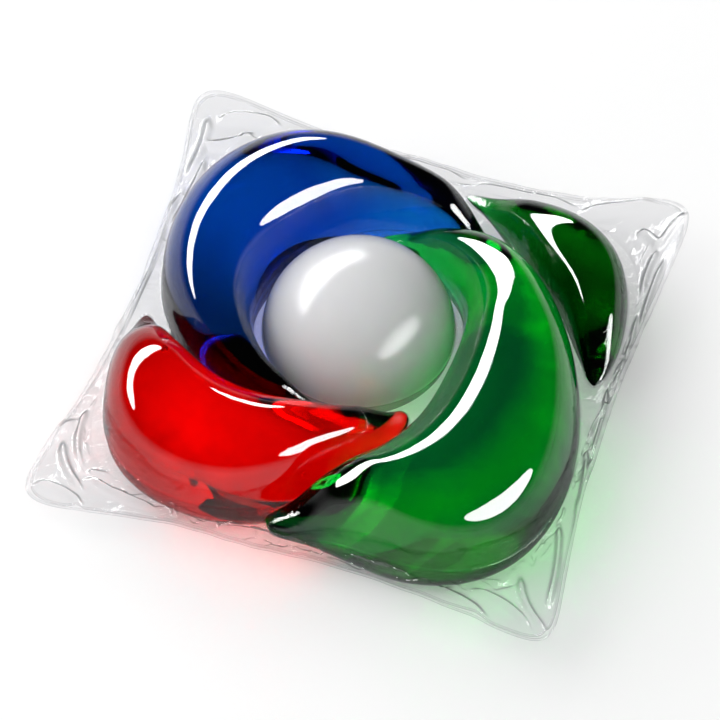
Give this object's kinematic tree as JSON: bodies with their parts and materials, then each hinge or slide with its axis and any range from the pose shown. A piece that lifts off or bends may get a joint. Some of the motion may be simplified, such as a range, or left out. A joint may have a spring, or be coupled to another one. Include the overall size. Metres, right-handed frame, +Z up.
{
  "type": "laundry pod",
  "caption": "Laundry detergent pod with curved gel-filled pockets swirling round a domed pocket, sealed between clear water-soluble films with a flat square rim.",
  "frame": {"origin": "on the floor under the middle of the square rim", "axes": "+Z up out of the domed side, X and Y along the sides of the square rim"},
  "size_m": [0.0558, 0.0558, 0.0152],
  "materials": {
    "clear_film": "clear water-soluble film, glossy, with fine creases at the rim",
    "blue_gel": "clear deep blue gel behind glossy film",
    "red_gel": "clear red gel behind glossy film",
    "green_gel": "clear green gel behind glossy film",
    "dark_green_gel": "clear dark green gel behind glossy film",
    "white_gel": "milky white gel behind glossy film"
  },
  "bodies": {
    "root": {"upper_film": "clear_film", "lower_film": "clear_film", "blue_gel": "blue_gel", "red_gel": "red_gel", "green_gel": "green_gel", "dark_green_gel": "dark_green_gel", "white_gel": "white_gel"}
  },
  "joints": []
}
